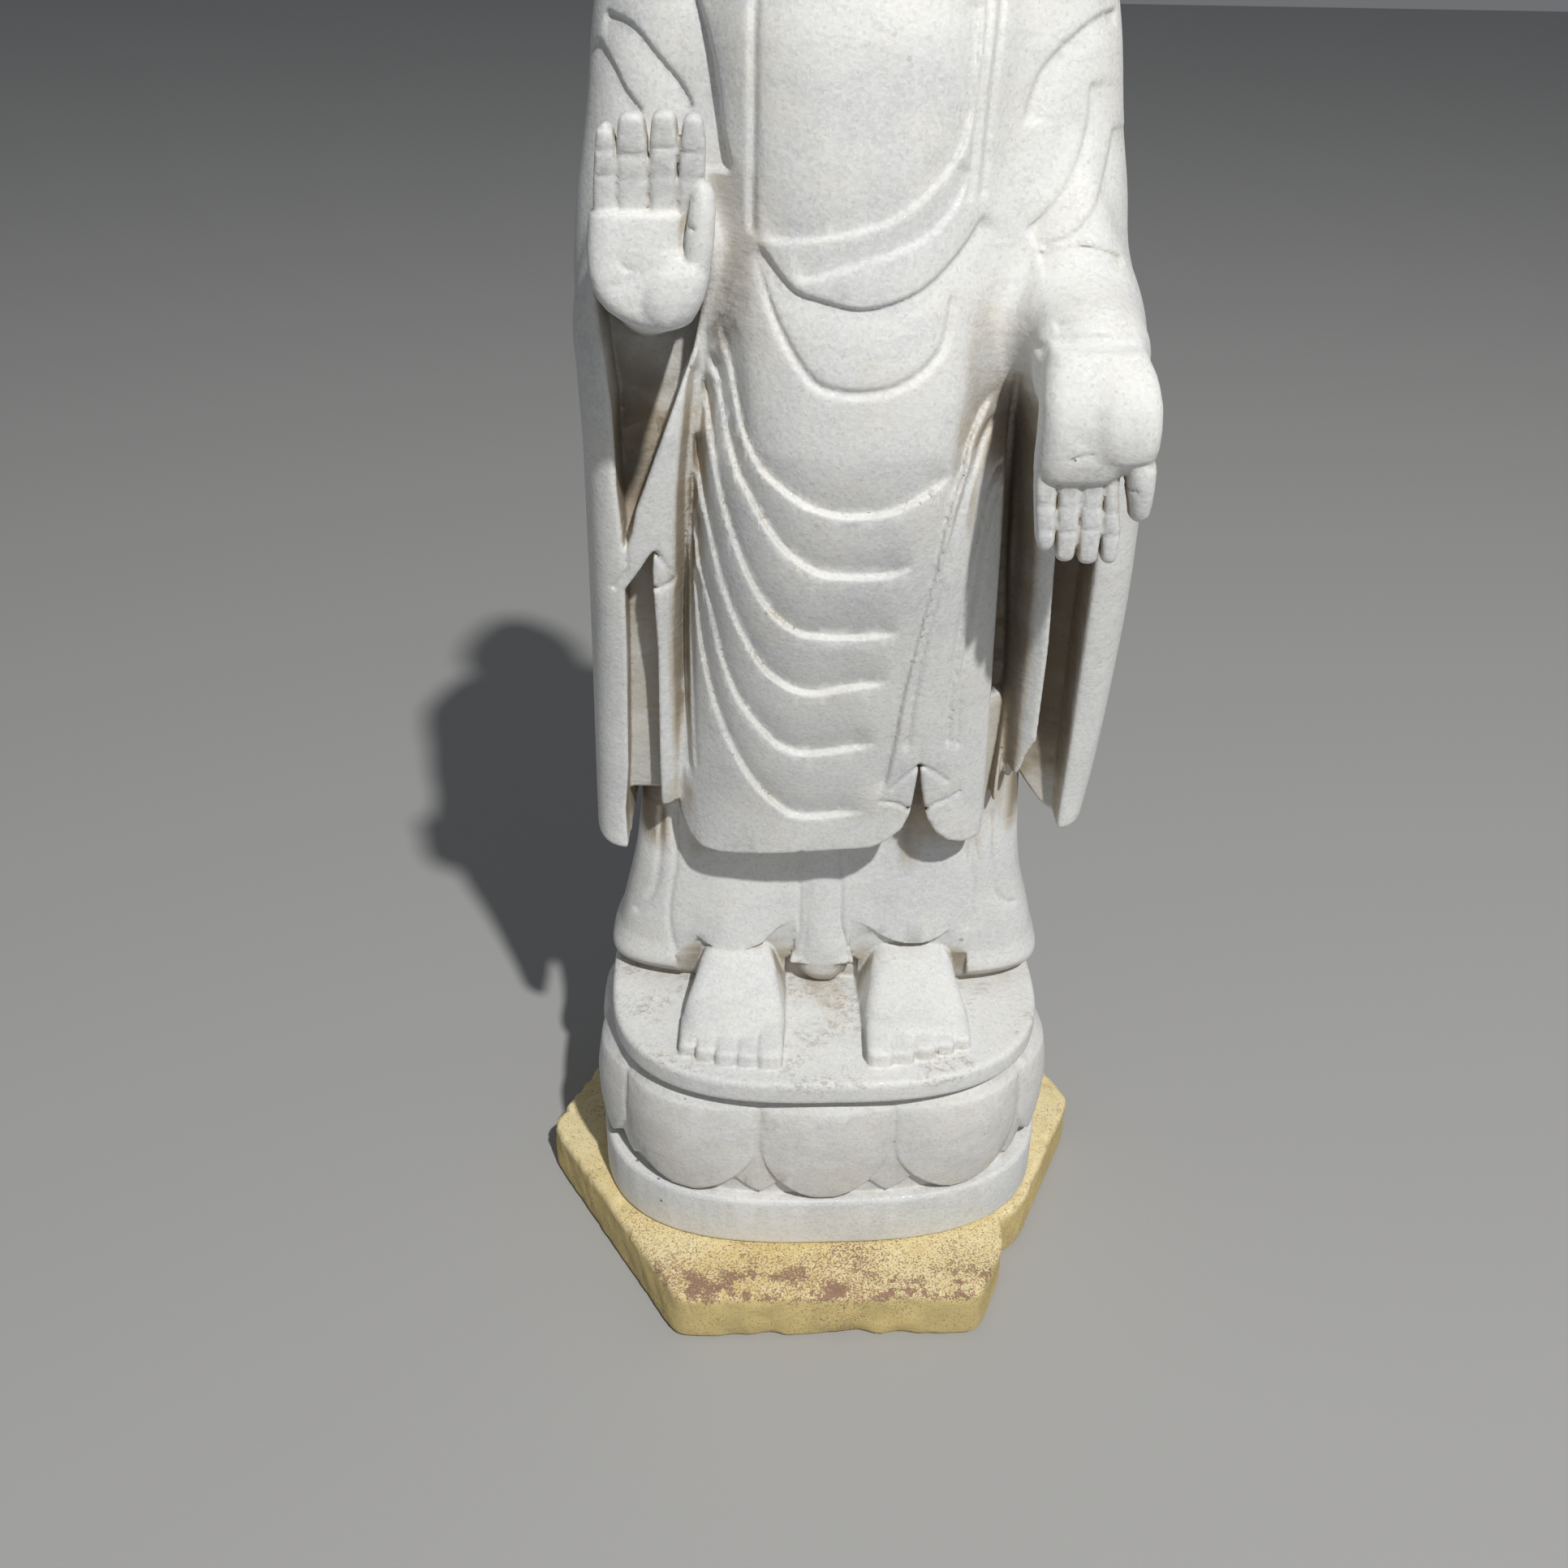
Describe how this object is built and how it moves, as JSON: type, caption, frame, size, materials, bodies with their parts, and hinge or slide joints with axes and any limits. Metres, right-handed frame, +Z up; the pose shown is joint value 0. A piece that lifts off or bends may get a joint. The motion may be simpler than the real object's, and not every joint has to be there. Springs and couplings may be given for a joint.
{
  "type": "marble buddha statue",
  "caption": "Standing robed buddha carved in light marble, one hand raised and one lowered, on a lotus pedestal that rests on a hexagonal concrete slab",
  "frame": {"origin": "middle of the slab's underside, on the ground under the middle of the pedestal", "axes": "+Z up, the figure faces -Y, +X is to the right of someone who looks at its front"},
  "size_m": [0.4012, 0.3309, 1.0608],
  "materials": {
    "marble": "carved and lightly rubbed coarse-grained white marble, weathered to warm grey with tan dirt in its hollows",
    "painted_concrete": "concrete with pale yellow paint worn through in speckles"
  },
  "bodies": {
    "root": {"marble_buddha": "marble", "base_slab": "painted_concrete"}
  },
  "joints": []
}
